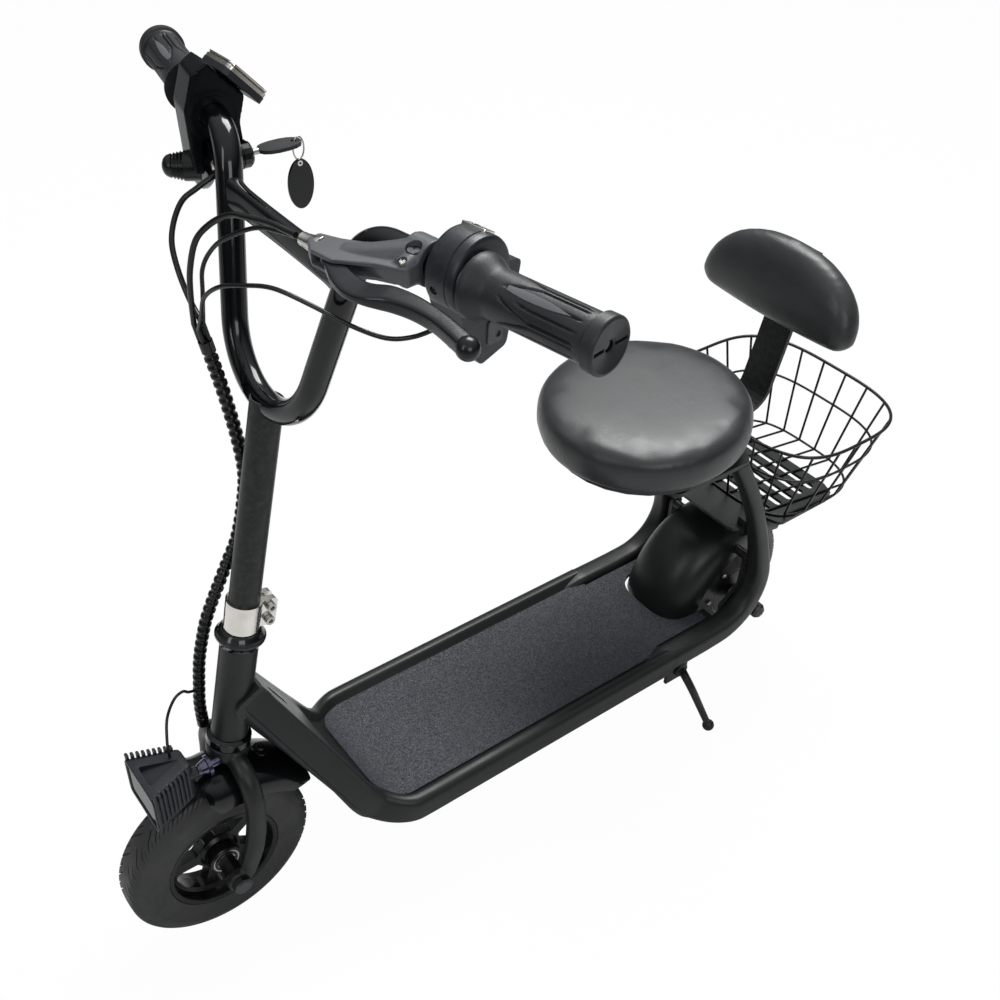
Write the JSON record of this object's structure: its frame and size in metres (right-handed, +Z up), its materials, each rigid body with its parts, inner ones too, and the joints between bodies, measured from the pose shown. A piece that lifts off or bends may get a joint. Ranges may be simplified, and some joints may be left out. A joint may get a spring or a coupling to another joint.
{
  "type": "seated electric scooter",
  "caption": "Small electric scooter with a U-shaped handlebar, round padded seat, half-moon backrest, wire basket, pressed deck, hub motor rear wheel and folding side stand.",
  "frame": {"origin": "centre of the bounding box on the ground", "axes": "+X forward along the scooter, +Y to the rider's left, +Z up"},
  "size_m": [0.9806, 0.629, 0.8377],
  "materials": {
    "frame_black": "satin black powder coat",
    "bar_gloss": "gloss black",
    "chrome": "polished",
    "steel": "zinc plated",
    "dark_steel": "dark satin",
    "wire_black": "black coated wire",
    "rear_fender_black": "satin moulded",
    "fender_gloss": "gloss moulded",
    "control_plastic": "fine grained",
    "body_plastic": "moulded",
    "rim_black": "satin black cast wheel",
    "tyre": "treaded rubber",
    "grip_rubber": "fluted",
    "cable_rubber": "extruded",
    "mat_grit": "gritted, sparkling",
    "cushion_vinyl": "satin black vinyl over foam",
    "lens_clear": "clear moulded"
  },
  "bodies": {
    "frame": {"head_tube": "frame_black", "headset_cup_lower": "bar_gloss", "headset_cup_upper": "bar_gloss", "deck_shell": "frame_black", "bottom_cover": "body_plastic", "deck_mat": "mat_grit", "battery_pack": "body_plastic", "rear_leg_l": "frame_black", "rear_leg_r": "frame_black", "dropout_l": "frame_black", "dropout_r": "frame_black", "rear_axle": "steel", "rear_fender": "rear_fender_black", "rear_rack": "frame_black", "basket": "wire_black", "seat_bridge": "frame_black", "seat_pan": "body_plastic", "seat_cushion": "cushion_vinyl", "backrest_bracket": "frame_black", "backrest_pad": "cushion_vinyl", "kickstand_bracket": "dark_steel"},
    "rear_wheel": {"rear_tyre": "tyre", "rear_hub_motor": "dark_steel"},
    "side_stand": {"kickstand": "frame_black"},
    "steering": {"fork": "frame_black", "front_axle": "steel", "front_fender": "fender_gloss", "fender_screw": "dark_steel", "headlight_mount": "chrome", "headlight_housing": "body_plastic", "headlight_lens": "lens_clear", "headlight_cable": "cable_rubber", "clamp_collar": "chrome", "clamp_bolt_a": "steel", "clamp_bolt_b": "steel", "stem_tube": "frame_black", "handlebar": "bar_gloss", "cross_brace": "bar_gloss", "left_grip": "grip_rubber", "left_switch_housing": "control_plastic", "left_perch": "control_plastic", "display_housing": "control_plastic", "display_panel": "control_plastic", "right_perch": "control_plastic", "key_lock": "chrome", "wiring_harness": "cable_rubber", "brake_cable_left": "cable_rubber", "sensor_cable_left": "cable_rubber", "brake_cable_right": "cable_rubber", "switch_cable": "cable_rubber"},
    "front_wheel": {"front_tyre": "tyre", "front_rim": "rim_black"},
    "left_brake": {"left_lever": "control_plastic"},
    "right_brake": {"right_lever": "control_plastic"},
    "throttle": {"throttle_grip": "grip_rubber"},
    "horn": {"horn_button": "steel"},
    "light_slide": {"light_switch": "chrome"},
    "ignition_key": {"key": "steel"},
    "tag": {"key_tag": "fender_gloss"}
  },
  "joints": [
    {"name": "steering_turn", "type": "hinge", "parent": "frame", "child": "steering", "pos_m": [0.36005, 0, 0.25803], "axis": [-0.2062, 0, 0.9785], "range_deg": [-40, 40]},
    {"name": "front_wheel_spin", "type": "hinge", "parent": "steering", "child": "front_wheel", "pos_m": [0.39335, 0, 0.1], "axis": [0, 1, 0], "continuous": true},
    {"name": "rear_wheel_spin", "type": "hinge", "parent": "frame", "child": "rear_wheel", "pos_m": [-0.32665, 0, 0.1], "axis": [0, 1, 0], "continuous": true},
    {"name": "side_stand_fold", "type": "hinge", "parent": "frame", "child": "side_stand", "pos_m": [-0.18165, 0.0905, 0.09], "axis": [0, 1, 0], "range_deg": [-92, 0]},
    {"name": "left_brake_pull", "type": "hinge", "parent": "steering", "child": "left_brake", "pos_m": [0.28487, 0.11725, 0.7914], "axis": [0.052, 0.0068, 0.9986], "range_deg": [0, 11], "stiffness_Nm_per_rad": 1.5, "springref_deg": -6.88},
    {"name": "right_brake_pull", "type": "hinge", "parent": "steering", "child": "right_brake", "pos_m": [0.24398, -0.13992, 0.75382], "axis": [-0.976, 0.1911, -0.1045], "range_deg": [0, 16], "stiffness_Nm_per_rad": 1.5, "springref_deg": -6.88},
    {"name": "throttle_twist", "type": "hinge", "parent": "steering", "child": "throttle", "pos_m": [0.22681, -0.20572, 0.79382], "axis": [-0.1925, -0.9813, 0.0033], "range_deg": [0, 60], "stiffness_Nm_per_rad": 0.15, "springref_deg": -11.46},
    {"name": "horn_press", "type": "slide", "parent": "steering", "child": "horn", "axis": [0.9653, 0.19, -0.179], "range_m": [0, 0.002], "stiffness_N_per_m": 400, "springref_m": -0.001},
    {"name": "light_slide_move", "type": "slide", "parent": "steering", "child": "light_slide", "axis": [-0.1925, 0.9813, 0.0033], "range_m": [0, 0.005]},
    {"name": "key_turn", "type": "hinge", "parent": "steering", "child": "ignition_key", "pos_m": [0.22235, -0.1205, 0.765], "axis": [1, 0, 0], "range_deg": [0, 90]},
    {"name": "tag_swing", "type": "hinge", "parent": "ignition_key", "child": "tag", "pos_m": [0.17569, -0.1205, 0.7666], "axis": [1, 0, 0], "range_deg": [-30, 30]}
  ]
}
